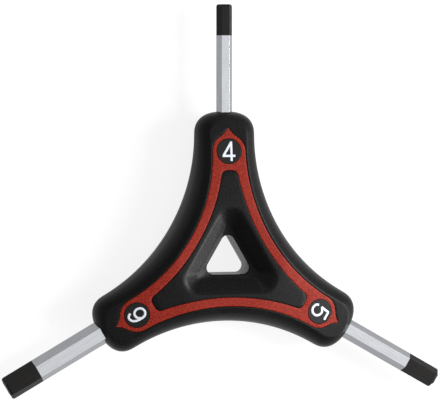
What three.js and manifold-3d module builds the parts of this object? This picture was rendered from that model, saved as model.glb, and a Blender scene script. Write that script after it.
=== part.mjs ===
// Three-way hexagon wrench: a moulded three-armed handle that holds one hexagon key in each arm.
// Sizes are in millimetres. The wrench lies on its back, +Z points out of the front face and z = 0 is the back.
// The origin is the middle of the three arms, and +Y runs along the arm of the smallest key.

import * as THREE from "three";
import { mergeVertices } from "three/addons/utils/BufferGeometryUtils.js";
import Module from "manifold-3d";

const manifoldLibrary = await Module();
manifoldLibrary.setup();

// Keys: hexagonal steel bars that all stand out of the handle by the same length
const smallKeyAcrossFlats = 4;
const mediumKeyAcrossFlats = 5;
const largeKeyAcrossFlats = 6;
const keyExposedLength = 30.55;
const keyTipChamfer = 0.5;
const keyRootChamfer = 0.4;
const keyRootWall = 2.2;
const keyNotchLength = 4;
const keyNotchDepth = 0.6;
const keyClearance = 0.12;

// Handle outline at its widest line, half way through the thickness
const armEndReach = 42.05;
const armHalfWidth = 8.72;
const armParallelLength = 0.4;
const armRoundLength = 6.65;
const armEndFlatHalfWidth = 1.2;

// Faces: a raised plateau on each side, flat around the middle and falling away along the arms
const crownHalfThickness = 8.8;
const crownFlatRadius = 15.3;
const crownCurve = 1.2;
const armEndHalfThickness = 4.5;
const faceInset = 3.5;
const faceSetback = 3.65;
const faceEndInset = 1.9;

// Recess and hanging hole in the middle of both faces
const recessMargin = 0.5;
const recessCornerRadius = 5.2;
const recessEdgeRound = 2.2;
const slopeCornerRadius = 3.8;
const valleyRadius = 1.4;
const holeReach = 4.4;
const holeCornerRadius = 2;
const holeEdgeHalfHeight = 5.2;
const holeEdgeRound = 0.45;

// Coloured band that shows on both faces, and the size discs in its three heads
const bandMargin = 0.45;
const bandSetback = 3.15;
const padArmHalfWidth = 1.47;
const bandHeadAngle = THREE.MathUtils.degToRad(56);
const bandTipBeyondDisc = 6.8;
const padEndBeforeDisc = 5.35;
const padEndCornerAcross = 1.8;
const padEndCornerAlong = 1.8;
const discToArmEnd = 11.25;
const discMargin = 1.24;
const discThickness = 1.2;

// Inside of the handle
const keyCover = 1.4;
const coreOpeningMargin = 2.2;
const coreOpeningCornerRadius = 4.2;
const lockRibReach = 1.6;
const lockRibThickness = 2.4;
const seamGap = 0.12;
const cutOverrun = 2;

// Section of the flank, from the widest line up to the edge of the plateau
const flankHeightShares = [0, 0.411, 0.623, 0.769, 0.867, 0.914, 0.985, 1];
const flankInsetShares = [0, 0.114, 0.257, 0.429, 0.6, 0.714, 0.914, 1];
// An arm's end is an ellipse with fuller corners: the power of its curve is 2 for an ellipse and more for a square.
const armRoundPower = 2.5;
const faceRoundPower = 2.1;
// The valleys between the recess's slopes are at their sharpest at this share of the way down to the hole.
const valleyShare = 0.8;
const tipControlAcrossShare = 0.2;
const tipControlAlongShare = 0.5;

// Steps of the curves
const armCount = 3;
const hexagonSides = 6;
const sideSteps = 9;
const hubSteps = 5;
const cornerSteps = 4;
const endSteps = 7;
const headSteps = 6;
const tipSteps = 4;
const triangleCornerSteps = 6;
const recessEdgeSteps = 4;
const discSides = 36;

const armTurn = (2 * Math.PI) / armCount;
const sweepAngle = Math.PI / 6;
const sideSine = Math.sin(2 * sweepAngle);

// A solid made ready for joining and cutting: its shared vertices are merged first.
function solidOf(geometry) {
  const bare = geometry.index ? geometry.toNonIndexed() : geometry.clone();
  bare.deleteAttribute("normal");
  bare.deleteAttribute("uv");
  const merged = mergeVertices(bare);
  return new manifoldLibrary.Manifold(
    new manifoldLibrary.Mesh({
      numProp: 3,
      vertProperties: merged.attributes.position.array,
      triVerts: new Uint32Array(merged.index.array),
    }),
  );
}

function geometryOf(solid) {
  const mesh = solid.getMesh();
  const positions = new Float32Array(mesh.numVert * 3);
  for (let i = 0; i < mesh.numVert; i++) {
    const start = i * mesh.numProp;
    positions.set(mesh.vertProperties.subarray(start, start + 3), i * 3);
  }
  const geometry = new THREE.BufferGeometry();
  geometry.setAttribute("position", new THREE.BufferAttribute(positions, 3));
  geometry.setIndex(new THREE.BufferAttribute(mesh.triVerts, 1));
  geometry.computeVertexNormals();
  return geometry;
}

// One side of an arm is a circle arc that ends parallel to the arm. Its sweep says where and how wide the arm is there.
function sweepOf(straightReach, halfWidth) {
  const centreReach = 2 * straightReach;
  return { centreReach, radius: centreReach * sideSine - halfWidth };
}

function sweepPoint(sweep, turn) {
  const x = sweep.centreReach * sideSine - sweep.radius * Math.sin(turn + 2 * sweepAngle);
  const y = sweep.centreReach / 2 - sweep.radius * Math.cos(turn + 2 * sweepAngle);
  return new THREE.Vector2(x, y);
}

function sweepTurnAt(sweep, reach) {
  return Math.acos((sweep.centreReach / 2 - reach) / sweep.radius) - 2 * sweepAngle;
}

function sweepPoints(sweep, lastTurn) {
  const points = [];
  for (let i = 0; i <= sideSteps; i++) points.push(sweepPoint(sweep, (lastTurn * i) / sideSteps));
  return points;
}

// The right half of one arm's outline becomes the whole outline: mirrored, then turned to every arm.
function wholeOutline(rightHalf) {
  const leftHalf = rightHalf.slice(1).map((p) => new THREE.Vector2(-p.x, p.y));
  const arm = [...rightHalf, ...leftHalf.reverse()].filter(
    (p, i, all) => i === 0 || p.distanceTo(all[i - 1]) > 0,
  );
  const outline = [];
  for (let k = 0; k < armCount; k++) {
    for (const p of arm) outline.push(p.clone().rotateAround(new THREE.Vector2(), k * armTurn));
  }
  return outline;
}

function cornerPoints(halfWidth, endReach, across, along) {
  const points = [];
  for (let i = 0; i <= cornerSteps; i++) {
    const turn = ((Math.PI / 2) * i) / cornerSteps;
    const x = halfWidth - across + across * Math.cos(turn);
    const y = endReach - along + along * Math.sin(turn);
    points.push(new THREE.Vector2(x, y));
  }
  return points;
}

// The round end of an arm, from the end of its side to the small flat in its middle.
function endPoints(halfWidth, startReach, endReach, power) {
  const points = [];
  for (let i = 0; i <= endSteps; i++) {
    const turn = ((Math.PI / 2) * i) / endSteps;
    const across = Math.max(Math.cos(turn), 0) ** (2 / power);
    const along = Math.sin(turn) ** (2 / power);
    const x = THREE.MathUtils.lerp(armEndFlatHalfWidth, halfWidth, across);
    points.push(new THREE.Vector2(x, THREE.MathUtils.lerp(startReach, endReach, along)));
  }
  return points;
}

const keyTipReach = armEndReach + keyExposedLength;
const discReach = armEndReach - discToArmEnd;
const bandTipReach = discReach + bandTipBeyondDisc;
const padEndReach = discReach - padEndBeforeDisc;
const armRoundStart = armEndReach - armRoundLength;
const armStraightReach = armRoundStart - armParallelLength;
const faceHalfWidth = armHalfWidth - faceInset;
const faceStraightReach = armStraightReach - faceSetback;

// The handle's outline at one level of the flank.
function levelOutline(insetShare) {
  const halfWidth = armHalfWidth - insetShare * faceInset;
  const straightReach = armStraightReach - insetShare * faceSetback;
  const endReach = armEndReach - insetShare * faceEndInset;
  const power = THREE.MathUtils.lerp(armRoundPower, faceRoundPower, insetShare);
  return wholeOutline([
    ...sweepPoints(sweepOf(straightReach, halfWidth), sweepAngle),
    ...endPoints(halfWidth, armRoundStart, endReach, power),
  ]);
}

// Outer edge of the band, grown by a given amount: side sweeps, round heads and a pointed tip on each.
const bandHalfWidth = faceHalfWidth - bandMargin;

function bandOuterOutline(grow) {
  const headRadius = bandHalfWidth + grow;
  const sweep = sweepOf(faceStraightReach, headRadius);
  const firstAngle = Math.asin((faceStraightReach - discReach) / headRadius);
  const half = sweepPoints(sweep, sweepAngle);
  for (let i = 1; i <= headSteps; i++) {
    const turn = THREE.MathUtils.lerp(firstAngle, bandHeadAngle, i / headSteps);
    half.push(new THREE.Vector2(headRadius * Math.cos(turn), discReach + headRadius * Math.sin(turn)));
  }
  const headEnd = half[half.length - 1];
  const tip = new THREE.Vector2(0, bandTipReach + grow);
  const control = new THREE.Vector2(
    headEnd.x * tipControlAcrossShare,
    THREE.MathUtils.lerp(headEnd.y, tip.y, tipControlAlongShare),
  );
  half.push(...new THREE.QuadraticBezierCurve(headEnd, control, tip).getPoints(tipSteps).slice(1));
  return wholeOutline(half);
}

// Inner edge of the band, which is the outer edge of the centre pads.
const padSweep = sweepOf(faceStraightReach + bandSetback, padArmHalfWidth);

function bandInnerOutline(grow) {
  const sweep = { centreReach: padSweep.centreReach, radius: padSweep.radius - grow };
  const lastTurn = sweepTurnAt(sweep, padEndReach + grow - padEndCornerAlong);
  const half = sweepPoints(sweep, lastTurn);
  const shoulder = half[half.length - 1].x;
  const corner = cornerPoints(shoulder, padEndReach + grow, padEndCornerAcross, padEndCornerAlong);
  return wholeOutline([...half, ...corner.slice(1)]);
}

// A triangle with round corners that point along the arms. Reach is measured square to its sides.
function roundedTriangle(reach, cornerRadius) {
  const half = [];
  for (let i = 0; i <= triangleCornerSteps / 2; i++) {
    const turn = sweepAngle + (2 * sweepAngle * i) / (triangleCornerSteps / 2);
    const centreReach = 2 * (reach - cornerRadius);
    half.push(
      new THREE.Vector2(cornerRadius * Math.cos(turn), centreReach + cornerRadius * Math.sin(turn)),
    );
  }
  const corner = [...half, ...half.slice(0, -1).reverse().map((p) => new THREE.Vector2(-p.x, p.y))];
  const outline = [];
  for (let k = 0; k < armCount; k++) {
    for (const p of corner) outline.push(p.clone().rotateAround(new THREE.Vector2(), k * armTurn));
  }
  return outline;
}

// Height of the plateau over the middle plane: level round the middle, then an even curve down to the arm ends.
function faceHeight(point) {
  const beyondFlat = Math.max(0, point.length() - crownFlatRadius);
  const share = beyondFlat / (armEndReach - crownFlatRadius);
  return crownHalfThickness - (crownHalfThickness - armEndHalfThickness) * share ** crownCurve;
}

function liftedRing(outline, heightOf) {
  return outline.map((p) => new THREE.Vector3(p.x, p.y, heightOf(p)));
}

function turnedOver(ring) {
  return ring.map((p) => new THREE.Vector3(p.x, p.y, -p.z));
}

// Walls between rings of equally many points, each ring above the last on the outside of a solid.
function addWall(triangles, rings) {
  for (let r = 0; r + 1 < rings.length; r++) {
    const low = rings[r];
    const high = rings[r + 1];
    for (let i = 0; i < low.length; i++) {
      const j = (i + 1) % low.length;
      triangles.push([low[i], low[j], high[j]], [low[i], high[j], high[i]]);
    }
  }
}

// A face with the recess as its hole. Each arm is a ladder of rungs, and the hub between the arms is filled in.
function addFace(triangles, edge, rim) {
  const armPoints = edge.length / armCount;
  const hub = [];
  for (let k = 0; k < armCount; k++) {
    const right = [];
    const left = [];
    const mirrorCount = (armPoints + 1) / 2;
    for (let i = 0; i < mirrorCount; i++) {
      right.push(edge[k * armPoints + i]);
      left.push(edge[(k * armPoints + armPoints - i) % edge.length]);
    }
    for (let i = 0; i <= hubSteps; i++) hub.push(right[i]);
    for (let i = hubSteps; i > 0; i--) hub.push(left[i]);
    for (let i = hubSteps; i + 1 < mirrorCount; i++) {
      triangles.push([right[i], right[i + 1], left[i + 1]], [right[i], left[i + 1], left[i]]);
    }
  }
  const flat = (ring) => ring.map((p) => new THREE.Vector2(p.x, p.y));
  const hole = [...rim].reverse();
  const corners = [...hub, ...hole];
  for (const [a, b, c] of THREE.ShapeUtils.triangulateShape(flat(hub), [flat(hole)])) {
    triangles.push([corners[a], corners[b], corners[c]]);
  }
}

function geometryFromTriangles(triangles) {
  const geometry = new THREE.BufferGeometry().setFromPoints(triangles.flat());
  return mergeVertices(geometry);
}

const bandInnerReach = sweepPoint(padSweep, 0).length();
const recessReach = bandInnerReach - recessMargin;

// The recess from its rim, which is rounded until it meets the slope to the hole, down to the hole's wall.
function recessRings() {
  const width = recessReach - holeReach - holeEdgeRound;
  const fall = crownHalfThickness - holeEdgeHalfHeight - recessEdgeRound;
  const slope = Math.asin(recessEdgeRound / Math.hypot(width, fall)) + Math.atan2(fall, width);
  const slopeInset = recessEdgeRound * Math.sin(slope);
  const slopeTop = crownHalfThickness - recessEdgeRound * (1 - Math.cos(slope));
  const rings = [];
  for (let i = 0; i <= recessEdgeSteps; i++) {
    const turn = (slope * i) / recessEdgeSteps;
    const inset = recessEdgeRound * Math.sin(turn);
    const drop = recessEdgeRound * (1 - Math.cos(turn));
    const radius = THREE.MathUtils.lerp(recessCornerRadius, slopeCornerRadius, inset / slopeInset);
    rings.push(liftedRing(roundedTriangle(recessReach - inset, radius), (p) => faceHeight(p) - drop));
  }
  const valleyReach = THREE.MathUtils.lerp(recessReach - slopeInset, holeReach + holeEdgeRound, valleyShare);
  const valleyHeight = THREE.MathUtils.lerp(slopeTop, holeEdgeHalfHeight, valleyShare);
  rings.push(liftedRing(roundedTriangle(valleyReach, valleyRadius), () => valleyHeight));
  const holeEdge = roundedTriangle(holeReach + holeEdgeRound, holeCornerRadius + holeEdgeRound);
  rings.push(liftedRing(holeEdge, () => holeEdgeHalfHeight));
  const holeWall = roundedTriangle(holeReach, holeCornerRadius);
  rings.push(liftedRing(holeWall, () => holeEdgeHalfHeight - holeEdgeRound));
  return rings;
}

// The whole handle as one block, before it is divided into its mouldings.
function handleBlock() {
  const upperRings = flankHeightShares.map((heightShare, i) =>
    liftedRing(levelOutline(flankInsetShares[i]), (p) => heightShare * faceHeight(p)),
  );
  const lowerRings = upperRings.slice(1).map(turnedOver).reverse();
  const innerRings = recessRings();
  const triangles = [];
  addWall(triangles, [...lowerRings, ...upperRings]);
  addWall(triangles, [...innerRings, ...innerRings.map(turnedOver).reverse()]);
  const frontFace = [];
  addFace(frontFace, upperRings[upperRings.length - 1], innerRings[0]);
  triangles.push(...frontFace);
  triangles.push(...frontFace.map((corners) => turnedOver(corners).reverse()));
  return solidOf(geometryFromTriangles(triangles));
}

// A straight block over an outline, between two heights.
function prism(outline, bottom, top) {
  const geometry = new THREE.ExtrudeGeometry(new THREE.Shape(outline), {
    depth: top - bottom,
    bevelEnabled: false,
  });
  return solidOf(geometry.translate(0, 0, bottom));
}

const cutHalfHeight = crownHalfThickness + cutOverrun;

function tallPrism(outline) {
  return prism(outline, -cutHalfHeight, cutHalfHeight);
}

// A hexagonal bar along +Y with flats to the front and the back, chamfered at both ends.
function hexagonBar(acrossFlats, rootReach, tipReach, rootChamfer, tipChamfer) {
  const radius = acrossFlats / (2 * sideSine);
  const profile = [
    new THREE.Vector2(0, rootReach),
    new THREE.Vector2(radius - rootChamfer, rootReach),
    new THREE.Vector2(radius, rootReach + rootChamfer),
    new THREE.Vector2(radius, tipReach - tipChamfer),
    new THREE.Vector2(radius - tipChamfer, tipReach),
    new THREE.Vector2(0, tipReach),
  ];
  return solidOf(new THREE.LatheGeometry(profile, hexagonSides, sweepAngle));
}

function box(width, length, height, x, y, z) {
  return solidOf(new THREE.BoxGeometry(width, length, height).translate(x, y, z));
}

const coreOpeningReach = recessReach - coreOpeningMargin;
const keyRootReach = 2 * coreOpeningReach - coreOpeningCornerRadius + keyRootWall;

// The two pressed notches that stop a key from being pulled out, tightened by the clearance where plastic fills them.
function keyNotches(acrossFlats, tighten) {
  const depth = keyNotchDepth - tighten;
  const length = keyNotchLength - 2 * tighten;
  const width = acrossFlats + 2 * cutOverrun;
  const height = depth + cutOverrun;
  const z = acrossFlats / 2 - keyNotchDepth + tighten + height / 2;
  const front = box(width, length, height, 0, discReach, z);
  return front.add(box(width, length, height, 0, discReach, -z));
}

function keySolid(acrossFlats) {
  const bar = hexagonBar(acrossFlats, keyRootReach, keyTipReach, keyRootChamfer, keyTipChamfer);
  return bar.subtract(keyNotches(acrossFlats, 0));
}

// The room that a key takes in the plastic, with its clearance.
function keySocket(acrossFlats) {
  const flats = acrossFlats + 2 * keyClearance;
  const bar = hexagonBar(flats, keyRootReach - keyClearance, armEndReach + cutOverrun, keyRootChamfer, 0);
  return bar.subtract(keyNotches(acrossFlats, keyClearance));
}

// Each arm with its key size and its turn about +Z. The smallest key points along +Y.
const arms = [
  { label: "4mm", digit: "4", acrossFlats: smallKeyAcrossFlats, turn: 0 },
  { label: "6mm", digit: "6", acrossFlats: largeKeyAcrossFlats, turn: armTurn },
  { label: "5mm", digit: "5", acrossFlats: mediumKeyAcrossFlats, turn: -armTurn },
];

function turnedSolid(solid, turn) {
  return solidOf(geometryOf(solid).rotateZ(turn));
}

function allKeySockets() {
  return arms
    .map((arm) => turnedSolid(keySocket(arm.acrossFlats), arm.turn))
    .reduce((joined, socket) => joined.add(socket));
}

function discRoom(radius, floor) {
  const height = cutHalfHeight - floor;
  const cylinder = new THREE.CylinderGeometry(radius, radius, height, discSides).rotateX(Math.PI / 2);
  return solidOf(cylinder.translate(0, discReach, floor + height / 2));
}

const discRadius = bandHalfWidth - discMargin;
const discOuterEdge = new THREE.Vector2(0, discReach + discRadius);
const discFloor = faceHeight(discOuterEdge) - discThickness;

function allDiscRooms() {
  const front = discRoom(discRadius + seamGap, discFloor - seamGap);
  const both = front.add(solidOf(geometryOf(front).rotateY(Math.PI)));
  return arms.map((arm) => turnedSolid(both, arm.turn)).reduce((joined, room) => joined.add(room));
}

const coreSlabHalf = largeKeyAcrossFlats / 2 + keyCover;

// The plate of the core under the centre pads, with the opening that the pads meet in.
function coreSlab(grow) {
  const outline = bandInnerOutline(seamGap);
  const opening = roundedTriangle(coreOpeningReach - grow, coreOpeningCornerRadius - grow);
  const half = coreSlabHalf + grow;
  return prism(outline, -half, half).subtract(tallPrism(opening));
}

function lockRib(grow) {
  const half = lockRibThickness / 2 + grow;
  return prism(bandOuterOutline(lockRibReach + grow), -half, half);
}

// Hard core: the band that shows on both faces, the plate inside it and the rib that locks the grip on.
function coreSolid(block, sockets) {
  const band = tallPrism(bandOuterOutline(0)).subtract(tallPrism(bandInnerOutline(0)));
  const rib = lockRib(0).subtract(tallPrism(bandInnerOutline(0)));
  const whole = band.add(coreSlab(0)).add(rib);
  return whole.intersect(block).subtract(sockets).subtract(allDiscRooms());
}

function gripSolid(block, sockets) {
  const inside = tallPrism(bandOuterOutline(seamGap)).add(lockRib(seamGap));
  return block.subtract(inside).subtract(sockets);
}

function frontPadSolid(block) {
  const region = prism(bandInnerOutline(-seamGap), seamGap / 2, cutHalfHeight);
  return block.intersect(region).subtract(coreSlab(seamGap));
}

function discSolid(block) {
  return block.intersect(discRoom(discRadius, discFloor));
}

const finishes = {
  steel: { color: 0xb4b6b9, roughness: 0.32, metalness: 1 },
  gripBlack: { color: 0x222225, roughness: 0.62, metalness: 0 },
  coreRed: { color: 0xb0352b, roughness: 0.5, metalness: 0 },
  discBlack: { color: 0x1c1c1e, roughness: 0.55, metalness: 0 },
};

function piece(name, geometry, finish) {
  const mesh = new THREE.Mesh(geometry, new THREE.MeshStandardMaterial(finishes[finish]));
  mesh.name = name;
  return mesh;
}

// The back of a piece is its front turned over about the arm's own line.
function turnedToBack(geometry) {
  return geometry.clone().rotateY(Math.PI);
}

function buildWrench() {
  const block = handleBlock();
  const sockets = allKeySockets();
  const padGeometry = geometryOf(frontPadSolid(block));
  const discGeometry = geometryOf(discSolid(block));

  const wrench = new THREE.Group();
  wrench.position.z = crownHalfThickness;
  wrench.add(
    piece("handle_core", geometryOf(coreSolid(block, sockets)), "coreRed"),
    piece("outer_grip", geometryOf(gripSolid(block, sockets)), "gripBlack"),
    piece("front_centre_pad", padGeometry, "gripBlack"),
    piece("back_centre_pad", turnedToBack(padGeometry), "gripBlack"),
  );
  for (const arm of arms) {
    const armGroup = new THREE.Group();
    armGroup.rotation.z = arm.turn;
    armGroup.add(
      piece(`key_${arm.label}`, geometryOf(keySolid(arm.acrossFlats)), "steel"),
      piece(`front_size_disc_${arm.digit}`, discGeometry.clone(), "discBlack"),
      piece(`back_size_disc_${arm.digit}`, turnedToBack(discGeometry), "discBlack"),
    );
    wrench.add(armGroup);
  }
  const part = new THREE.Group();
  part.add(wrench);
  return part;
}

export default buildWrench();
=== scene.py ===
"""A Y-shaped hex wrench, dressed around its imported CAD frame.

The wrench lies on its back on a pale studio floor, with the arm of the smallest key along +Y.
All lengths are in metres. The handle's pieces are drawn about the plane of the three keys and
lifted to it at the end.
"""

import logging
import math
from collections.abc import Callable, Sequence
from dataclasses import dataclass
from enum import Enum

import bmesh
import bpy
from mathutils import Matrix, Vector

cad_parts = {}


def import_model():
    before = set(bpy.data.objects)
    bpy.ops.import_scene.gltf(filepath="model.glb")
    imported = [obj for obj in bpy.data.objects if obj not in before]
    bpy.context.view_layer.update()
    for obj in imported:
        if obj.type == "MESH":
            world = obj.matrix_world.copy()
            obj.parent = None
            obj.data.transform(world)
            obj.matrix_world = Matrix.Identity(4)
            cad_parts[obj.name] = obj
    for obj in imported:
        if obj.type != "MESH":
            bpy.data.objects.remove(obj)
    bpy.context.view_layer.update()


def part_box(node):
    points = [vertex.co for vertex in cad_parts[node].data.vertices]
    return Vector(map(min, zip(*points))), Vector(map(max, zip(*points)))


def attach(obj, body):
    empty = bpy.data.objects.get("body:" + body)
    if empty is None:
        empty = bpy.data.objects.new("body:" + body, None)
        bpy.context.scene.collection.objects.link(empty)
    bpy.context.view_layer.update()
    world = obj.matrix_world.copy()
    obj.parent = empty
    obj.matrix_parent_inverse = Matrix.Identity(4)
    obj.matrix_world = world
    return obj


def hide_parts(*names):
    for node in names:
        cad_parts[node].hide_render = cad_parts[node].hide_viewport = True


Ring = list[Vector]
Colour = tuple[float, float, float]
Element = bmesh.types.BMEdge | bmesh.types.BMFace

LOG = logging.getLogger("wrench")
ARM_COUNT = 3
ARM_TURN = 2 * math.pi / ARM_COUNT
QUARTER_TURN = math.pi / 2
TO_BACK = Matrix.Rotation(math.pi, 4, "Y")
# The turn of a side's arc from its middle to where it is parallel to the arm.
SWEEP_ANGLE = math.pi / 6
# The sine of the angle between an arm and the middle of its side, which a hexagon shares.
SIDE_SINE = math.sin(2 * SWEEP_ANGLE)
# Edges that bend more than this stay sharp.
SMOOTH_ANGLE = math.radians(32)
HEXAGON_SIDES = 6
ROUND_SIDES = 96
# Most of a noise's values lie between these two.
NOISE_MIDDLE = (0.3, 0.7)
WHITE = (1, 1, 1, 1)


class Face(Enum):
    """The two faces of the wrench. The value starts the names of a face's pieces."""

    FRONT = "front"
    BACK = "back"


class Part(Enum):
    """What is picked on a mesh. The name is its select mode, and the value its sequence."""

    EDGE = "edges"
    FACE = "faces"


def make_active(piece: bpy.types.Object) -> None:
    """Selects one piece alone and makes it the active one.

    Args:
        piece: The object that the next operators work on.
    """
    bpy.ops.object.select_all(action="DESELECT")
    piece.select_set(True)
    bpy.context.view_layer.objects.active = piece


def pick(mesh: bpy.types.Mesh, part: Part, wanted: Callable[[Element], bool]) -> None:
    """Selects the edges or faces of a mesh in edit mode that pass a test, and nothing else.

    Args:
        mesh: The mesh in edit mode.
        part: Whether edges or faces are picked.
        wanted: The test.
    """
    bpy.ops.mesh.select_mode(type=part.name)
    bpy.ops.mesh.select_all(action="DESELECT")
    shape = bmesh.from_edit_mesh(mesh)
    for element in getattr(shape, part.value):
        if wanted(element):
            element.select_set(True)
    bmesh.update_edit_mesh(mesh)


def settle(piece: bpy.types.Object, matrix: Matrix) -> None:
    """Puts a piece's place into its mesh and leaves its object at the origin.

    Args:
        piece: The object to settle.
        matrix: The move, turn or scale that it gets on top of its present place.
    """
    piece.data.transform(matrix @ piece.matrix_world)
    piece.matrix_world = Matrix.Identity(4)
    piece.data.update()


def cylinder(
    name: str, sides: int, radius: float, depth: float, middle: Sequence[float]
) -> bpy.types.Object:
    """Adds an upright cylinder or prism that is then shaped further.

    Args:
        name: The new piece's name.
        sides: How many sides it has.
        radius: The radius of the circle through its corners.
        depth: Its height.
        middle: The place of its middle.

    Returns:
        The new piece, with its place in its mesh.
    """
    bpy.ops.object.select_all(action="DESELECT")
    bpy.ops.mesh.primitive_cylinder_add(
        vertices=sides, radius=radius, depth=depth, location=middle
    )
    piece = bpy.context.object
    piece.name = name
    settle(piece, Matrix.Identity(4))
    return piece


def shade_smooth(piece: bpy.types.Object) -> None:
    """Shades a piece smooth, but for its true corners and its flats.

    Args:
        piece: The piece to shade.
    """
    make_active(piece)
    bpy.ops.object.shade_smooth_by_angle(angle=SMOOTH_ANGLE)
    bpy.ops.object.modifier_add(type="WEIGHTED_NORMAL")
    modifier = piece.modifiers[-1]
    modifier.keep_sharp = True
    bpy.ops.object.modifier_apply(modifier=modifier.name)


def cut_away(piece: bpy.types.Object, cutter: bpy.types.Object) -> None:
    """Cuts one solid out of another and deletes the cutter.

    Args:
        piece: The solid that stays.
        cutter: The solid whose space is taken out of the piece.
    """
    make_active(piece)
    bpy.ops.object.modifier_add(type="BOOLEAN")
    modifier = piece.modifiers[-1]
    modifier.operation = "DIFFERENCE"
    modifier.solver = "EXACT"
    modifier.object = cutter
    bpy.ops.object.modifier_apply(modifier=modifier.name)
    bpy.data.objects.remove(cutter)


def loft(name: str, rings: Sequence[Ring]) -> bpy.types.Object:
    """Pulls a closed skin out of one circle, ring by ring, and bridges its last ring to its first.

    Args:
        name: The new piece's name.
        rings: Rings of equally many points, in order round the section.

    Returns:
        The new piece, with its faces pointing outwards.
    """
    bpy.ops.object.select_all(action="DESELECT")
    bpy.ops.mesh.primitive_circle_add(vertices=len(rings[0]), fill_type="NOTHING")
    piece = bpy.context.object
    piece.name = name
    mesh = piece.data
    places = mesh.attributes.new("place", "INT", "POINT")
    places.data.foreach_set("value", range(len(rings[0])))
    mesh.attributes.new("row", "INT", "POINT")
    bpy.ops.object.mode_set(mode="EDIT")
    bpy.ops.mesh.select_mode(type="VERT")
    bpy.ops.mesh.select_all(action="SELECT")
    for row, ring in enumerate(rings):
        if row:
            bpy.ops.mesh.extrude_edges_move()
        place_ring(mesh, row, ring)
    bridge_rows(mesh, 0, len(rings) - 1)
    bpy.ops.mesh.select_all(action="SELECT")
    bpy.ops.mesh.normals_make_consistent(inside=False)
    bpy.ops.object.mode_set(mode="OBJECT")
    for label in ("place", "row"):
        mesh.attributes.remove(mesh.attributes[label])
    return piece


def place_ring(mesh: bpy.types.Mesh, row: int, ring: Ring) -> None:
    """Moves the selected ring of a mesh in edit mode to its points.

    Args:
        mesh: The mesh in edit mode.
        row: The ring's number, kept on its vertices.
        ring: The points that the vertices go to.
    """
    shape = bmesh.from_edit_mesh(mesh)
    place_layer = shape.verts.layers.int["place"]
    row_layer = shape.verts.layers.int["row"]
    for vertex in shape.verts:
        if vertex.select:
            vertex.co = ring[vertex[place_layer]]
            vertex[row_layer] = row
    bmesh.update_edit_mesh(mesh)


def bridge_rows(mesh: bpy.types.Mesh, first: int, last: int) -> None:
    """Joins two rings of a mesh in edit mode with faces.

    Args:
        mesh: The mesh in edit mode.
        first: The number of one ring.
        last: The number of the other ring.
    """
    row_layer = bmesh.from_edit_mesh(mesh).verts.layers.int["row"]
    ends = ({first}, {last})
    pick(mesh, Part.EDGE, lambda edge: {vertex[row_layer] for vertex in edge.verts} in ends)
    bpy.ops.mesh.bridge_edge_loops()


@dataclass(frozen=True)
class Arm:
    """One arm of the wrench.

    Attributes:
        label: The size of its key, which ends the name of the key's CAD node.
        turn: Its turn about +Z.
        black_start: The reach at which its key's burnished end starts.
    """

    label: str
    turn: float
    black_start: float

    @property
    def digit(self) -> str:
        """The number that is printed on its discs."""
        return self.label[0]


ARMS = (
    Arm(label="4mm", turn=0.0, black_start=0.0637),
    Arm(label="6mm", turn=ARM_TURN, black_start=0.0626),
    Arm(label="5mm", turn=-ARM_TURN, black_start=0.0625),
)


@dataclass(frozen=True)
class Sweep:
    """One side of an arm: a circle arc that ends parallel to the arm.

    Attributes:
        centre_reach: How far the circle's centre is from the middle of the wrench.
        radius: The circle's radius.
    """

    centre_reach: float
    radius: float

    @classmethod
    def ending_at(cls, reach: float, half_width: float) -> "Sweep":
        """Gives the arc that is parallel to the arm at a reach, with a half width there."""
        return cls(2 * reach, 2 * reach * SIDE_SINE - half_width)

    def point(self, turn: float) -> Vector:
        """Gives a point of the arc.

        Args:
            turn: The turn from the middle of the side, on the +Y arm's right.

        Returns:
            The point, across and along the +Y arm.
        """
        angle = turn + 2 * SWEEP_ANGLE
        x = self.centre_reach * SIDE_SINE - self.radius * math.sin(angle)
        return Vector((x, self.centre_reach / 2 - self.radius * math.cos(angle)))

    def turn_at(self, reach: float) -> float:
        """Gives the turn at which the arc comes to a reach along the arm."""
        return math.acos((self.centre_reach / 2 - reach) / self.radius) - 2 * SWEEP_ANGLE

    def grown(self, amount: float) -> "Sweep":
        """Gives the same arc moved outwards by an amount."""
        return Sweep(self.centre_reach, self.radius - amount)


def corner(half_width: float, end: float, across: float, along: float, steps: int) -> Ring:
    """Gives the quarter ellipse that joins an arm's side to its end.

    Args:
        half_width: Half of the arm's width at the corner.
        end: The reach of the arm's end.
        across: The ellipse's radius across the arm.
        along: The ellipse's radius along the arm.
        steps: How many steps the quarter has.

    Returns:
        The points from the side to the end.
    """
    points = []
    for i in range(steps + 1):
        turn = QUARTER_TURN * i / steps
        x = half_width - across + across * math.cos(turn)
        points.append(Vector((x, end - along + along * math.sin(turn))))
    return points


def round_end(half_width: float, start: float, end: float, power: float, steps: int) -> Ring:
    """Gives the round end of an arm, from the end of its side to the arm's own line.

    Args:
        half_width: Half of the arm's width at the start.
        start: The reach at which the end starts.
        end: The reach of its farthest point.
        power: The power of its curve. Two gives an ellipse, and more gives fuller corners.
        steps: How many steps the end has.

    Returns:
        The points from the side to the arm's line.
    """
    points = []
    for i in range(steps + 1):
        turn = QUARTER_TURN * i / steps
        across = max(math.cos(turn), 0) ** (2 / power)
        along = math.sin(turn) ** (2 / power)
        points.append(Vector((half_width * across, start + (end - start) * along)))
    points[-1].x = 0.0
    return points


def whole_outline(half: Ring) -> Ring:
    """Mirrors the right half of one arm's outline and turns it to every arm.

    Args:
        half: Points from the middle of the side to the arm's own line.

    Returns:
        The closed outline of all arms.
    """
    left = [Vector((-p.x, p.y)) for p in reversed(half[1:-1])]
    outline = []
    for k in range(ARM_COUNT):
        turned = Matrix.Rotation(k * ARM_TURN, 2)
        outline += [turned @ p for p in [*half, *left]]
    return outline


def blend(a: Ring, b: Ring, share: float) -> Ring:
    """Gives the ring that lies a share of the way from one ring to another."""
    return [p.lerp(q, share) for p, q in zip(a, b)]


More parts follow.
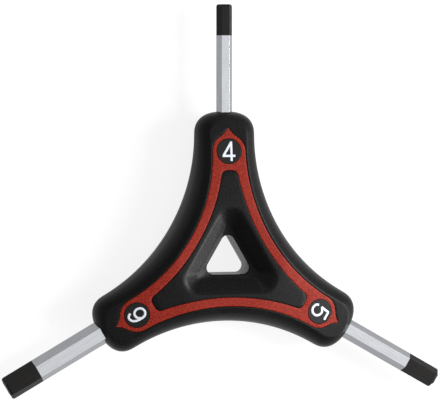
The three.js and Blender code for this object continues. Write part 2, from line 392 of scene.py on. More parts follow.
def at_height(outline: Ring, height: float) -> Ring:
    """Lifts an outline to one height."""
    return [Vector((p.x, p.y, height)) for p in outline]


def with_mirror(rings: Sequence[Ring]) -> list[Ring]:
    """Closes a section that starts and ends on the keys' plane with its mirrored rings."""
    lower = [[Vector((p.x, p.y, -p.z)) for p in ring] for ring in reversed(rings[1:-1])]
    return [*rings, *lower]


def smooth_row(
    values: Sequence[float], steps: int, before: float, after: float
) -> list[float]:
    """Runs a smooth curve through a row of values.

    Args:
        values: The values that the curve passes.
        steps: How many steps lie between two values.
        before: The value that would come before the first one.
        after: The value that would come after the last one.

    Returns:
        The curve's values, from the first one to the last one.
    """
    padded = [before, *values, after]
    curve = []
    for i in range(1, len(padded) - 2):
        a, b, c, d = padded[i - 1 : i + 3]
        for step in range(steps):
            t = step / steps
            linear = (c - a) * t
            square = (2 * a - 5 * b + 4 * c - d) * t**2
            cube = (3 * b - a - 3 * c + d) * t**3
            curve.append((2 * b + linear + square + cube) / 2)
    curve.append(values[-1])
    return curve


@dataclass(frozen=True)
class HandleForm:
    """The outlines and heights that all the handle's pieces share.

    Heights are over the plane of the keys, and a reach is a distance from the middle of the
    wrench along an arm. The plateau is the face inside the round flanks.

    Attributes:
        disc_reach: The reach of the discs' middles, which comes from the frame.
        crown: The plateau's height round the middle, which comes from the frame.
        arm_half_width: Half of an arm's width at its widest line.
        arm_parallel: The length of an arm's parallel stretch, before its round end.
        arm_round_length: The length of an arm's round end.
        arm_round_power: The power of the round end's curve at the widest line.
        face_round_power: The power of the round end's curve at the plateau's edge.
        crown_flat_radius: The distance from the middle to which the plateau is level.
        crown_curve: The power of the plateau's fall beyond that.
        arm_end_half_thickness: The plateau's height at an arm's end.
        face_inset: How far the plateau's edge lies inside the widest line.
        face_setback: How much sooner the plateau's sides get parallel.
        face_end_inset: How far the plateau ends inside the widest line.
        recess_margin: The black between the band and the recess's rim.
        recess_corner_radius: The radius of the rim's corners.
        slope_corner_radius: The corners' radius where the rim's round ends.
        valley_radius: The corners' radius in the valleys of the slope.
        valley_share: How far down the slope the valleys are narrowest.
        hole_reach: The distance from the middle to the hole's sides.
        hole_corner_radius: The radius of the hole's corners.
        hole_edge_half_height: The height of the hole's edge.
        band_margin: The black between the plateau's edge and the band on an arm.
        band_setback: How much later the band's inner sides get parallel.
        band_head_angle: The turn round a disc at which the band's round head ends.
        band_tip_beyond_disc: How far the head's point lies beyond the disc's middle.
        tip_control_shares: Where the point's curve bends, across and along it.
        pad_arm_half_width: Half of a pad's width on an arm.
        pad_end_before_disc: How far a pad ends before the disc's middle.
        pad_end_corner: The radii of a pad's end corners, across and along the arm.
        disc_to_arm_end: The distance from a disc's middle to the arm's end.
        disc_margin: The red round a disc.
        disc_thickness: The thickness of a disc.
        slab_half: Half of the thickness of the core's plate between the pads.
        opening_margin: How far the core's own opening lies inside the recess's rim.
        opening_corner_radius: The radius of that opening's corners.
        rib_reach: How far the core's rib reaches into the grip.
        rib_half: Half of the rib's thickness.
        seam: The gap between two mouldings.
        side_steps: The steps along a side.
        end_points: The points from a side's end to the arm's own line.
        head_steps: The steps of the band's round head.
        pad_corner_steps: The steps of a pad's end corner.
        straight_steps: The steps along half of a triangle's side.
        flank_steps: The steps between two values of the flank's section.
        height_shares: The flank's heights, as shares of the plateau's.
        inset_shares: The flank's insets, as shares of the plateau's.
    """

    disc_reach: float
    crown: float
    arm_half_width: float = 0.00872
    arm_parallel: float = 0.0004
    arm_round_length: float = 0.00665
    arm_round_power: float = 2.5
    face_round_power: float = 2.1
    crown_flat_radius: float = 0.0153
    crown_curve: float = 1.2
    arm_end_half_thickness: float = 0.0045
    face_inset: float = 0.0035
    face_setback: float = 0.00365
    face_end_inset: float = 0.0019
    recess_margin: float = 0.0005
    recess_corner_radius: float = 0.0046
    slope_corner_radius: float = 0.0038
    valley_radius: float = 0.0014
    valley_share: float = 0.8
    hole_reach: float = 0.0044
    hole_corner_radius: float = 0.002
    hole_edge_half_height: float = 0.0052
    band_margin: float = 0.00045
    band_setback: float = 0.00315
    band_head_angle: float = math.radians(56)
    band_tip_beyond_disc: float = 0.0068
    tip_control_shares: tuple[float, float] = (0.2, 0.5)
    pad_arm_half_width: float = 0.00147
    pad_end_before_disc: float = 0.00535
    pad_end_corner: tuple[float, float] = (0.0018, 0.0018)
    disc_to_arm_end: float = 0.01125
    disc_margin: float = 0.00124
    disc_thickness: float = 0.0012
    slab_half: float = 0.0044
    opening_margin: float = 0.0022
    opening_corner_radius: float = 0.0042
    rib_reach: float = 0.0016
    rib_half: float = 0.0012
    seam: float = 0.00012
    side_steps: int = 24
    end_points: int = 14
    head_steps: int = 8
    pad_corner_steps: int = 10
    straight_steps: int = 14
    flank_steps: int = 4
    height_shares: tuple[float, ...] = (0, 0.411, 0.623, 0.769, 0.867, 0.914, 0.985, 0.9966, 1)
    inset_shares: tuple[float, ...] = (0, 0.114, 0.257, 0.429, 0.6, 0.714, 0.914, 0.966, 1)

    @property
    def arm_end(self) -> float:
        """The reach of the arms' farthest point."""
        return self.disc_reach + self.disc_to_arm_end

    @property
    def arm_straight(self) -> float:
        """The reach at which the arm's sides are parallel."""
        return self.arm_end - self.arm_round_length - self.arm_parallel

    @property
    def face_straight(self) -> float:
        """The reach at which the plateau's sides are parallel."""
        return self.arm_straight - self.face_setback

    @property
    def band_half_width(self) -> float:
        """Half of the band's outer width on an arm."""
        return self.arm_half_width - self.face_inset - self.band_margin

    @property
    def disc_radius(self) -> float:
        """The radius of the size discs."""
        return self.band_half_width - self.disc_margin

    @property
    def pad_sweep(self) -> Sweep:
        """The band's inner edge along a side."""
        return Sweep.ending_at(self.face_straight + self.band_setback, self.pad_arm_half_width)

    @property
    def recess_reach(self) -> float:
        """The distance from the middle to the sides of the recess's rim."""
        return self.pad_sweep.point(0).length - self.recess_margin

    @property
    def opening_reach(self) -> float:
        """The distance from the middle to the sides of the core's own opening."""
        return self.recess_reach - self.opening_margin

    def face_height(self, point: Vector) -> float:
        """Gives the plateau's height: level round the middle, then an even curve down.

        Args:
            point: The place on the plateau, seen from above.

        Returns:
            The height there.
        """
        beyond = max(0.0, Vector(point[:2]).length - self.crown_flat_radius)
        share = beyond / (self.arm_end - self.crown_flat_radius)
        return self.crown - (self.crown - self.arm_end_half_thickness) * share**self.crown_curve

    def side(self, sweep: Sweep, last_turn: float) -> Ring:
        """Gives the points of one side, from its middle to a turn."""
        return [sweep.point(last_turn * i / self.side_steps) for i in range(self.side_steps + 1)]

    def level(self, inset_share: float) -> Ring:
        """Gives the handle's outline at one level of the flank.

        Args:
            inset_share: 0 at the widest line, and 1 at the plateau's edge.

        Returns:
            The closed outline.
        """
        half_width = self.arm_half_width - inset_share * self.face_inset
        straight = self.arm_straight - inset_share * self.face_setback
        end = self.arm_end - inset_share * self.face_end_inset
        power = self.arm_round_power + inset_share * (self.face_round_power - self.arm_round_power)
        start = self.arm_end - self.arm_round_length
        half = self.side(Sweep.ending_at(straight, half_width), SWEEP_ANGLE)
        half += round_end(half_width, start, end, power, self.end_points - 1)
        return whole_outline(half)

    def band_outer(self, grow: float) -> Ring:
        """Gives the band's outer edge, with round heads that end in a point.

        Args:
            grow: How far the edge is moved outwards.

        Returns:
            The closed outline.
        """
        radius = self.band_half_width + grow
        first = math.asin((self.face_straight - self.disc_reach) / radius)
        half = self.side(Sweep.ending_at(self.face_straight, radius), SWEEP_ANGLE)
        for i in range(1, self.head_steps + 1):
            turn = first + (self.band_head_angle - first) * i / self.head_steps
            y = self.disc_reach + radius * math.sin(turn)
            half.append(Vector((radius * math.cos(turn), y)))
        start = half[-1]
        tip = Vector((0, self.disc_reach + self.band_tip_beyond_disc + grow))
        across, along = self.tip_control_shares
        control = Vector((start.x * across, start.y + (tip.y - start.y) * along))
        tip_steps = self.end_points - self.head_steps
        for i in range(1, tip_steps + 1):
            share = i / tip_steps
            half.append(start.lerp(control, share).lerp(control.lerp(tip, share), share))
        return whole_outline(half)

    def band_inner(self, grow: float) -> Ring:
        """Gives the band's inner edge, which is the outer edge of the centre pads.

        Args:
            grow: How far the edge is moved outwards.

        Returns:
            The closed outline.
        """
        sweep = self.pad_sweep.grown(grow)
        end = self.disc_reach - self.pad_end_before_disc + grow
        across, along = self.pad_end_corner
        half = self.side(sweep, sweep.turn_at(end - along))
        half += corner(half[-1].x, end, across, along, self.pad_corner_steps)[1:]
        last = half[-1]
        flat_steps = self.end_points - self.pad_corner_steps
        half += [Vector((last.x * (1 - i / flat_steps), last.y)) for i in range(1, flat_steps + 1)]
        return whole_outline(half)

    def triangle(self, reach: float, radius: float) -> Ring:
        """Gives a triangle with round corners along the arms.

        Args:
            reach: The distance from the middle square to its sides.
            radius: The radius of its corners.

        Returns:
            The closed outline.
        """
        arc_steps = self.side_steps + self.end_points - self.straight_steps
        middle = Vector((0, 2 * (reach - radius)))
        arc = []
        for i in range(arc_steps + 1):
            turn = SWEEP_ANGLE + 2 * SWEEP_ANGLE * i / arc_steps
            arc.append(middle + radius * Vector((math.cos(turn), math.sin(turn))))
        start = reach * Vector((math.cos(SWEEP_ANGLE), math.sin(SWEEP_ANGLE)))
        shares = [i / self.straight_steps for i in range(self.straight_steps)]
        return whole_outline([*(start.lerp(arc[0], share) for share in shares), *arc])

    def on_face(self, outline: Ring, drop: float = 0.0) -> Ring:
        """Lifts an outline to the plateau, or to a depth under it."""
        return [Vector((p.x, p.y, self.face_height(p) - drop)) for p in outline]

    def flank(self) -> list[Ring]:
        """Shapes the flank.

        Returns:
            Its rings, from the widest line up to the edge of the plateau.
        """
        heights = smooth_row(self.height_shares, self.flank_steps, -self.height_shares[1], 1)
        insets = smooth_row(self.inset_shares, self.flank_steps, self.inset_shares[1], 1)
        rings = []
        for height, inset in zip(heights, insets):
            outline = self.level(inset)
            rings.append([Vector((p.x, p.y, height * self.face_height(p))) for p in outline])
        return rings


class Recipe:
    """A material's node tree, built node by node.

    Attributes:
        material: The material.
        tree: Its node tree.
        shader: The sockets of its shader.
    """

    def __init__(self, name: str) -> None:
        """Starts the material with its plain shader.

        Args:
            name: The material's name.
        """
        self.material = bpy.data.materials.new(name)
        self.material.use_nodes = True
        self.tree = self.material.node_tree
        self.shader = self.tree.nodes["Principled BSDF"].inputs

    def add(self, kind: str, settings: dict[str, object]) -> bpy.types.Node:
        """Adds a node.

        Args:
            kind: The node's type name.
            settings: Values of its own properties, or of its sockets by name.

        Returns:
            The new node.
        """
        node = self.tree.nodes.new(kind)
        for key, value in settings.items():
            if hasattr(node, key):
                setattr(node, key, value)
            else:
                node.inputs[key].default_value = value
        return node

    def link(self, source: bpy.types.NodeSocket, target: bpy.types.NodeSocket) -> None:
        """Links one socket to another."""
        self.tree.links.new(source, target)

    def object_place(
        self, turn: float = 0.0, scale: tuple[float, float, float] = (1, 1, 1)
    ) -> bpy.types.NodeSocket:
        """Gives the object coordinates for a pattern that is stretched and then turned.

        Args:
            turn: The turn about +Z.
            scale: How much the pattern is stretched.

        Returns:
            The coordinates.
        """
        coordinates = self.add("ShaderNodeTexCoord", {})
        mapping = self.add(
            "ShaderNodeMapping",
            {"vector_type": "TEXTURE", "Rotation": (0, 0, turn), "Scale": scale},
        )
        self.link(coordinates.outputs["Object"], mapping.inputs["Vector"])
        return mapping.outputs["Vector"]

    def noise(
        self, place: bpy.types.NodeSocket, size: float, detail: float
    ) -> bpy.types.NodeSocket:
        """Gives a noise.

        Args:
            place: The coordinates that it is read at.
            size: The size of its features in metres.
            detail: How many finer layers it has.

        Returns:
            The noise's value, from 0 to 1.
        """
        node = self.add("ShaderNodeTexNoise", {"Scale": 1 / size, "Detail": detail})
        self.link(place, node.inputs["Vector"])
        return node.outputs["Fac"]

    def spread(
        self, value: bpy.types.NodeSocket, low: float, high: float
    ) -> bpy.types.NodeSocket:
        """Spreads the middle of a noise, where most of its values are, over a range.

        Args:
            value: The noise's value.
            low: The start of the range.
            high: The end of the range.

        Returns:
            The spread value.
        """
        least, most = NOISE_MIDDLE
        node = self.add(
            "ShaderNodeMapRange",
            {"From Min": least, "From Max": most, "To Min": low, "To Max": high},
        )
        self.link(value, node.inputs["Value"])
        return node.outputs["Result"]

    def mixed(
        self, share: bpy.types.NodeSocket, low: Colour, high: Colour
    ) -> bpy.types.NodeSocket:
        """Mixes two colours.

        Args:
            share: The share of the second colour.
            low: The first colour.
            high: The second colour.

        Returns:
            The mixed colour.
        """
        settings = {"data_type": "RGBA", "A": (*low, 1), "B": (*high, 1)}
        node = self.add("ShaderNodeMix", settings)
        self.link(share, node.inputs["Factor"])
        return node.outputs["Result"]

    def bump(self, height: bpy.types.NodeSocket, depth: float) -> None:
        """Raises the surface.

        Args:
            height: The pattern that raises it.
            depth: The height of the pattern's top in metres.
        """
        node = self.add("ShaderNodeBump", {"Distance": depth})
        self.link(height, node.inputs["Height"])
        self.link(node.outputs["Normal"], self.shader["Normal"])


@dataclass(frozen=True, kw_only=True)
class Finish:
    """A finish whose colour, roughness and relief vary over the surface.

    Attributes:
        name: The material's name.
        colour: The colour in the low places of its fine pattern.
        light_colour: The colour in the high places.
        roughness: The least and the most roughness.
        metallic: How metallic the surface is.
        specular: The specular level of what isn't metallic.
    """

    name: str
    colour: Colour
    light_colour: Colour
    roughness: tuple[float, float]
    metallic: float = 0.0
    specular: float = 0.5

    def dress(
        self,
        recipe: Recipe,
        pattern: bpy.types.NodeSocket,
        cloud: bpy.types.NodeSocket,
        depth: float,
    ) -> bpy.types.Material:
        """Lays the colours, the roughness and the relief on a material's shader.

        Args:
            recipe: The material's node tree.
            pattern: The fine pattern, which mixes the colours and raises the surface.
            cloud: The pattern that varies the roughness.
            depth: The depth of the relief in metres.

        Returns:
            The finished material.
        """
        colour = recipe.mixed(recipe.spread(pattern, 0, 1), self.colour, self.light_colour)
        recipe.link(colour, recipe.shader["Base Color"])
        recipe.link(recipe.spread(cloud, *self.roughness), recipe.shader["Roughness"])
        recipe.shader["Metallic"].default_value = self.metallic
        recipe.shader["Specular IOR Level"].default_value = self.specular
        recipe.bump(pattern, depth)
        return recipe.material


@dataclass(frozen=True, kw_only=True)
class MouldedPlastic(Finish):
    """Moulded plastic with the fine grain of a spark-eroded mould, lighter on the grain's high
    places: partly the grain's own tone and partly a painted sparkle of highlight on the grain's
    tops.

    Attributes:
        grain_size: The grain's size in metres.
        grain_depth: The grain's depth in metres.
        grain_detail: How many finer layers the grain has.
        cloud_grains: How many grains wide the clouds of the roughness are.
        cloud_detail: How many finer layers the clouds have.
    """

    grain_size: float
    grain_depth: float
    grain_detail: float = 3
    cloud_grains: float = 40
    cloud_detail: float = 4

    def material(self) -> bpy.types.Material:
        """Builds the material.

        Returns:
            The material, for any piece of the handle.
        """
        recipe = Recipe(self.name)
        place = recipe.object_place()
        grain = recipe.noise(place, self.grain_size, self.grain_detail)
        cloud = recipe.noise(place, self.cloud_grains * self.grain_size, self.cloud_detail)
        # The grain's high places get the lighter colour: partly the grain's own random tone,
        # partly a painted sparkle of highlight on the tops of the grain.
        return self.dress(recipe, grain, cloud, self.grain_depth)


@dataclass(frozen=True, kw_only=True)
class DrawnSteel(Finish):
    """Plated or burnished steel bar with fine marks along its length.

    Attributes:
        mark_width: The width of the marks in metres.
        mark_length: The length of the marks in metres.
        mark_depth: The depth of the marks in metres.
        mark_detail: How many finer layers the marks have.
        cloud_size: The size of the clouds of the roughness in metres.
        cloud_detail: How many finer layers the clouds have.
    """

    mark_width: float = 0.0004
    mark_length: float = 0.006
    mark_depth: float = 0.000001
    mark_detail: float = 2
    cloud_size: float = 0.002
    cloud_detail: float = 4

    def material(self, arm: Arm) -> bpy.types.Material:
        """Builds the material for one arm's key.

        Args:
            arm: The arm, whose line the marks follow.

        Returns:
            The material, named for the key.
        """
        recipe = Recipe(f"{self.name}_{arm.label}")
        place = recipe.object_place(arm.turn, (1, self.mark_length / self.mark_width, 1))
        marks = recipe.noise(place, self.mark_width, self.mark_detail)
        cloud = recipe.noise(recipe.object_place(), self.cloud_size, self.cloud_detail)
        return self.dress(recipe, marks, cloud, self.mark_depth)


@dataclass(frozen=True, kw_only=True)
class PrintedInk(Finish):
    """White pad-printed ink, thin enough to show the grain under it.

    Attributes:
        film_size: The size of the film's thin places in metres.
        film_detail: How many finer layers they have.
        film_depth: Their depth in metres.
    """

    film_size: float = 0.0003
    film_detail: float = 3
    film_depth: float = 0.00001

    def material(self) -> bpy.types.Material:
        """Builds the material.

        Returns:
            The material of the printed numbers.
        """
        recipe = Recipe(self.name)
        film = recipe.noise(recipe.object_place(), self.film_size, self.film_detail)
        return self.dress(recipe, film, film, self.film_depth)


RED_PLASTIC = MouldedPlastic(
    name="red_plastic",
    colour=(0.175, 0.008, 0.003),
    light_colour=(0.355, 0.033, 0.019),
    roughness=(0.42, 0.52),
    specular=0.14,
    grain_size=0.00045,
    grain_depth=0.00003,
)
BLACK_GRIP = MouldedPlastic(
    name="black_grip",
    colour=(0.0001, 0.0001, 0.0001),
    light_colour=(0.0066, 0.0066, 0.007),
    roughness=(0.34, 0.44),
    specular=0.15,
    grain_size=0.0005,
    grain_depth=0.00005,
)
BLACK_HOLE_WALL = MouldedPlastic(
    name="black_hole_wall",
    colour=(0.003, 0.003, 0.0034),
    light_colour=(0.007, 0.007, 0.0076),
    roughness=(0.3, 0.4),
    specular=0.4,
    grain_size=0.0003,
    grain_depth=0.00001,
)
DISC_BLACK = MouldedPlastic(
    name="disc_black",
    colour=(0.004, 0.004, 0.0045),
    light_colour=(0.007, 0.007, 0.0078),
    roughness=(0.35, 0.42),
    specular=0.25,
    grain_size=0.0003,
    grain_depth=0.00001,
)
PLATED_STEEL = DrawnSteel(
    name="plated_steel",
    colour=(0.335, 0.343, 0.36),
    light_colour=(0.38, 0.39, 0.41),
    roughness=(0.262, 0.28),
    metallic=1.0,
)
BURNISHED_END = DrawnSteel(
    name="burnished_end",
    colour=(0.0025, 0.0022, 0.002),
    light_colour=(0.007, 0.006, 0.005),
    roughness=(0.4, 0.5),
    specular=0.16,
)
WHITE_INK = PrintedInk(
    name="white_ink",
    colour=(0.74, 0.78, 0.84),
    light_colour=(0.86, 0.9, 0.95),
    roughness=(0.4, 0.55),
)


@dataclass
class KeyBar:
    """One hexagonal key.

    Attributes:
        arm: The arm that it stands out of.
        across_flats: The bar's size across flats.
        root: The reach of its hidden end.
        tip: The reach of its working end.
        height: The height of its axis over the floor.
        edge_round: The radius of its long edges.
        edge_segments: The steps of a long edge's round.
        tip_round: The radius of the tip's edge.
        tip_segments: The steps of the tip's round.
    """

    arm: Arm
    across_flats: float
    root: float
    tip: float
    height: float
    edge_round: float = 0.00004
    edge_segments: int = 3
    tip_round: float = 0.0007
    tip_segments: int = 4

    @classmethod
    def from_frame(cls, arm: Arm, height: float) -> "KeyBar":
        """Reads a key from the CAD nodes. All keys reach as far as the one along +Y.

        Args:
            arm: The arm that it stands out of.
            height: The height of its axis over the floor.

        Returns:
            The key, ready to build.
        """
        low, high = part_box(f"key_{arm.label}")
        root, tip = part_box("key_4mm")
        return cls(arm, high.z - low.z, root.y, tip.y, height)

    def bar(self, name: str, grow: float = 0.0) -> bpy.types.Object:
        """Gives the plain hexagonal bar along +Y, about the keys' plane.

        Args:
            name: The new piece's name.
            grow: How far it is grown all round.

        Returns:
            The bar, with a flat to the front and one to the back.
        """
        radius = (self.across_flats / 2 + grow) / SIDE_SINE
        length = self.tip - self.root + 2 * grow
        bar = cylinder(name, HEXAGON_SIDES, radius, length, (0, 0, 0))
        lie_down = Matrix.Rotation(-QUARTER_TURN, 4, "X")
        settle(bar, lie_down @ Matrix.Rotation(SWEEP_ANGLE, 4, "Z"))
        settle(bar, Matrix.Translation((0, (self.root + self.tip) / 2, 0)))
        return bar

    def socket_cutter(self, clearance: float) -> bpy.types.Object:
        """Gives the room that the key takes in the handle.

        Args:
            clearance: The room around the key.

        Returns:
            The cutter, about the keys' plane.
        """
        cutter = self.bar("socket_cutter", clearance)
        settle(cutter, Matrix.Rotation(self.arm.turn, 4, "Z"))
        return cutter

    def build(self, steel: bpy.types.Material, black: bpy.types.Material) -> bpy.types.Object:
        """Builds the key with its round edges and its burnished end.

        Args:
            steel: The finish of the bar.
            black: The finish of its end.

        Returns:
            The key, standing for its CAD node.
        """
        black_start = self.arm.black_start
        key = self.bar(f"key_bar_{self.arm.label}")
        make_active(key)
        bpy.ops.object.mode_set(mode="EDIT")
        pick(key.data, Part.EDGE, lambda edge: edge.calc_length() > self.across_flats)
        bpy.ops.mesh.bevel(offset=self.edge_round, segments=self.edge_segments)
        tip_face = self.tip - self.tip_round
        pick(key.data, Part.FACE, lambda face: face.calc_center_median().y > tip_face)
        bpy.ops.mesh.bevel(offset=self.tip_round, segments=self.tip_segments)
        bpy.ops.mesh.select_all(action="SELECT")
        bpy.ops.mesh.bisect(plane_co=(0, black_start, 0), plane_no=(0, 1, 0))
        bpy.ops.object.mode_set(mode="OBJECT")
        key.data.materials.append(steel)
        key.data.materials.append(black)
        for polygon in key.data.polygons:
            polygon.material_index = int(polygon.center.y > black_start)
        settle(key, Matrix.Rotation(self.arm.turn, 4, "Z"))
        settle(key, Matrix.Translation((0, 0, self.height)))
        shade_smooth(key)
        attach(key, "root")
        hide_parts(f"key_{self.arm.label}")
        return key


@dataclass
class Handle:
    """The mouldings of the handle: the red core, the black grip and the two centre pads.

    Attributes:
        form: The outlines and heights.
        red: The core's finish.
        black: The finish of the grip and the pads.
        wall_black: The smoother finish of the hanging hole's wall.
        edge_round: The radius of the edges along the seams.
        rim_round: The radius of the recess's rim.
        hole_round: The radius of the hole's edges.
        wall_slant: The most that a wall's normal rises, where it counts as upright.
        key_clearance: The room around a key in its socket.
        strip_steps: The steps across the face between two seams.
        rim_steps: The steps of the rim's round.
        slope_steps: The steps of the slope, and of the hole's round edge.
    """

    form: HandleForm
    red: bpy.types.Material
    black: bpy.types.Material
    wall_black: bpy.types.Material
    edge_round: float = 0.00012
    rim_round: float = 0.0022
    hole_round: float = 0.00045
    wall_slant: float = 0.35
    key_clearance: float = 0.00006
    strip_steps: int = 6
    rim_steps: int = 8
    slope_steps: int = 4

    def seam_edge(
        self, outline: Callable[[float], Ring], grow: float, inwards: float
    ) -> list[Ring]:
        """Gives the round edge of a moulding along a seam, from its wall to its face.

        Args:
            outline: Gives the seam's outline at a growth.
            grow: The growth at which the moulding's wall stands.
            inwards: 1 where the moulding lies inside the outline, and -1 where it lies outside.

        Returns:
            The rings from the wall to the face.
        """
        r = self.edge_round
        halfway = r * (1 - math.sqrt(0.5))
        return [
            self.form.on_face(outline(grow), r),
            self.form.on_face(outline(grow - inwards * halfway), halfway),
            self.form.on_face(outline(grow - inwards * r)),
        ]

    def strip(self, a: Ring, b: Ring) -> list[Ring]:
        """Gives the rings on the face between two rings, without these."""
        shares = [i / self.strip_steps for i in range(1, self.strip_steps)]
        return [self.form.on_face(blend(a, b, share)) for share in shares]

    def grip_rings(self) -> list[Ring]:
        """Shapes the grip.

        Returns:
            The rings of its section, from its inner wall over the face and down the flank.
        """
        form = self.form
        groove = form.band_outer(form.rib_reach + form.seam)
        wall = form.band_outer(form.seam)
        groove_half = form.rib_half + form.seam
        edge = self.seam_edge(form.band_outer, form.seam, -1)
        flank = form.flank()[::-1]
        rings = [at_height(groove, 0), at_height(groove, groove_half)]
        rings += [at_height(wall, groove_half), *edge]
        rings += [*self.strip(edge[-1], flank[0]), *flank]
        return with_mirror(rings)

    def core_rings(self) -> list[Ring]:
        """Shapes the core.

        Returns:
            The rings of its section, from its rib over the band and in along its plate.
        """
        form = self.form
        rib = form.band_outer(form.rib_reach)
        opening = form.triangle(form.opening_reach, form.opening_corner_radius)
        outer = self.seam_edge(form.band_outer, 0, 1)
        inner = self.seam_edge(form.band_inner, 0, -1)
        rings = [at_height(rib, 0), at_height(rib, form.rib_half)]
        rings += [at_height(form.band_outer(0), form.rib_half), *outer]
        rings += [*self.strip(outer[-1], inner[-1]), *inner[::-1]]
        rings += [at_height(form.band_inner(0), form.slab_half)]
        rings += [at_height(opening, form.slab_half), at_height(opening, 0)]
        return with_mirror(rings)

    def rim_point(self, turn: float) -> tuple[float, float]:
        """Gives how far inside and how far under the rim its round is at a turn."""
        return self.rim_round * math.sin(turn), self.rim_round * (1 - math.cos(turn))

    def rim_rings(self, slope: float) -> list[Ring]:
        """Rounds the recess's rim.

        Args:
            slope: The angle at which the slope falls to the hole.

        Returns:
            The rings under the rim, to the start of the slope.
        """
        form = self.form
        rings = []
        for i in range(1, self.rim_steps + 1):
            turn = slope * i / self.rim_steps
            inset, drop = self.rim_point(turn)
            share = math.sin(turn) / math.sin(slope)
            tighter = form.slope_corner_radius - form.recess_corner_radius
            radius = form.recess_corner_radius + share * tighter
            rings.append(form.on_face(form.triangle(form.recess_reach - inset, radius), drop))
        return rings

    def hole_edge_rings(self) -> list[Ring]:
        """Rounds the edge of the hanging hole.

        Returns:
            The rings from the end of the slope to the hole's upright wall.
        """
        form = self.form
        rings = []
        for i in range(self.slope_steps + 1):
            turn = QUARTER_TURN * i / self.slope_steps
            inset = self.hole_round * (1 - math.sin(turn))
            drop = self.hole_round * (1 - math.cos(turn))
            outline = form.triangle(form.hole_reach + inset, form.hole_corner_radius + inset)
            rings.append(at_height(outline, form.hole_edge_half_height - drop))
        return rings

    def recess_rings(self) -> list[Ring]:
        """Shapes the recess, whose slope has a valley along each arm.

        Returns:
            The rings from its rim down to the wall of the hanging hole.
        """
        form = self.form
        width = form.recess_reach - form.hole_reach - self.hole_round
        fall = form.crown - form.hole_edge_half_height - self.rim_round
        slope = math.asin(self.rim_round / math.hypot(width, fall)) + math.atan2(fall, width)
        inset, drop = self.rim_point(slope)
        share = form.valley_share
        reach = form.recess_reach - inset - share * (width - inset)
        height = form.crown - drop - share * (form.crown - drop - form.hole_edge_half_height)
        valley = at_height(form.triangle(reach, form.valley_radius), height)
        rim = form.triangle(form.recess_reach, form.recess_corner_radius)
        rings = [form.on_face(rim), *self.rim_rings(slope)]
        start = rings[-1]
        for i in range(1, self.slope_steps + 1):
            rings.append(blend(start, valley, i / self.slope_steps))
        return [*rings, *self.hole_edge_rings()]

    def pad_rings(self) -> list[Ring]:
        """Shapes a centre pad.

        Returns:
            The rings of its section, from its outer wall over the recess and back under.
        """
        form = self.form
        under = form.slab_half + form.seam
        recess = self.recess_rings()
        edge = self.seam_edge(form.band_inner, -form.seam, 1)
        collar_corner = form.opening_corner_radius - form.seam
        collar = form.triangle(form.opening_reach - form.seam, collar_corner)
        hole = form.triangle(form.hole_reach, form.hole_corner_radius)
        rings = [at_height(form.band_inner(-form.seam), under), *edge]
        rings += [*self.strip(edge[-1], recess[0]), *recess, at_height(hole, form.seam / 2)]
        rings += [at_height(collar, form.seam / 2), at_height(collar, under)]
        return rings

    def finish(self, piece: bpy.types.Object, material: bpy.types.Material) -> None:
        """Lifts a moulding to the keys' plane and gives it its shading and finish.

        Args:
            piece: The moulding.
            material: Its material.
        """
        settle(piece, Matrix.Translation((0, 0, self.form.crown)))
        shade_smooth(piece)
        piece.data.materials.append(material)
        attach(piece, "root")

    def line_hole(self, pad: bpy.types.Object) -> None:
        """Gives the upright faces round the hanging hole their smoother finish.

        Args:
            pad: The pad that holds one end of the hole.
        """
        pad.data.materials.append(self.wall_black)
        for polygon in pad.data.polygons:
            upright = abs(polygon.normal.z) < self.wall_slant
            near_hole = polygon.center.xy.length < self.form.opening_reach
            polygon.material_index = int(upright and near_hole)

    def disc_cutter(self, turn: float, face: Face) -> bpy.types.Object:
        """Gives the room that a size disc takes in the core.

        Args:
            turn: The arm's turn about +Z.
            face: The face that the disc lies on.

        Returns:
            The cutter, standing in the arm's head.
        """
        form = self.form
        lowest = form.face_height(Vector((0, form.disc_reach + form.disc_radius)))
        floor = lowest - form.disc_thickness - form.seam
        middle = (0, form.disc_reach, floor + form.crown / 2)
        radius = form.disc_radius + form.seam
        cutter = cylinder("disc_cutter", ROUND_SIDES, radius, form.crown, middle)
        if face is Face.BACK:
            settle(cutter, TO_BACK)
        settle(cutter, Matrix.Rotation(turn, 4, "Z"))
        return cutter

    def build(self, keys: Sequence[KeyBar]) -> list[bpy.types.Object]:
        """Builds the four mouldings.

        Args:
            keys: The keys, whose sockets are cut.

        Returns:
            The core, the grip and the two pads.
        """
        core = loft("core_moulding", self.core_rings())
        grip = loft("grip_moulding", self.grip_rings())
        for key in keys:
            cut_away(core, key.socket_cutter(self.key_clearance))
            cut_away(grip, key.socket_cutter(self.key_clearance))
        for k in range(ARM_COUNT):
            for face in Face:
                cut_away(core, self.disc_cutter(k * ARM_TURN, face))
        front = loft("front_pad_moulding", self.pad_rings())
        back = loft("back_pad_moulding", self.pad_rings())
        settle(back, TO_BACK)
        self.finish(core, self.red)
        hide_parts("handle_core")
        self.finish(grip, self.black)
        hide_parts("outer_grip")
        self.finish(front, self.black)
        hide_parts("front_centre_pad")
        self.finish(back, self.black)
        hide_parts("back_centre_pad")
        self.line_hole(front)
        self.line_hole(back)
        return [core, grip, front, back]


@dataclass(frozen=True)
class Stroke:
    """One pen stroke of a digit, in heights of the digit's centre line.

    Attributes:
        knots: The points that the stroke passes.
        steps: How many steps lie between two knots. One step keeps the stroke straight.
    """

    knots: tuple[tuple[float, float], ...]
    steps: int = 1

    def points(self, height: float) -> list[tuple[float, float]]:
        """Gives the stroke's points, about the middle of the digit.

        Args:
            height: The height of the digit's centre line.

        Returns:
            The points along the stroke.
        """
        rows = []
        for row in zip(*self.knots):
            before, after = 2 * row[0] - row[1], 2 * row[-1] - row[-2]
            rows.append([height * value for value in smooth_row(row, self.steps, before, after)])
        return list(zip(*rows))


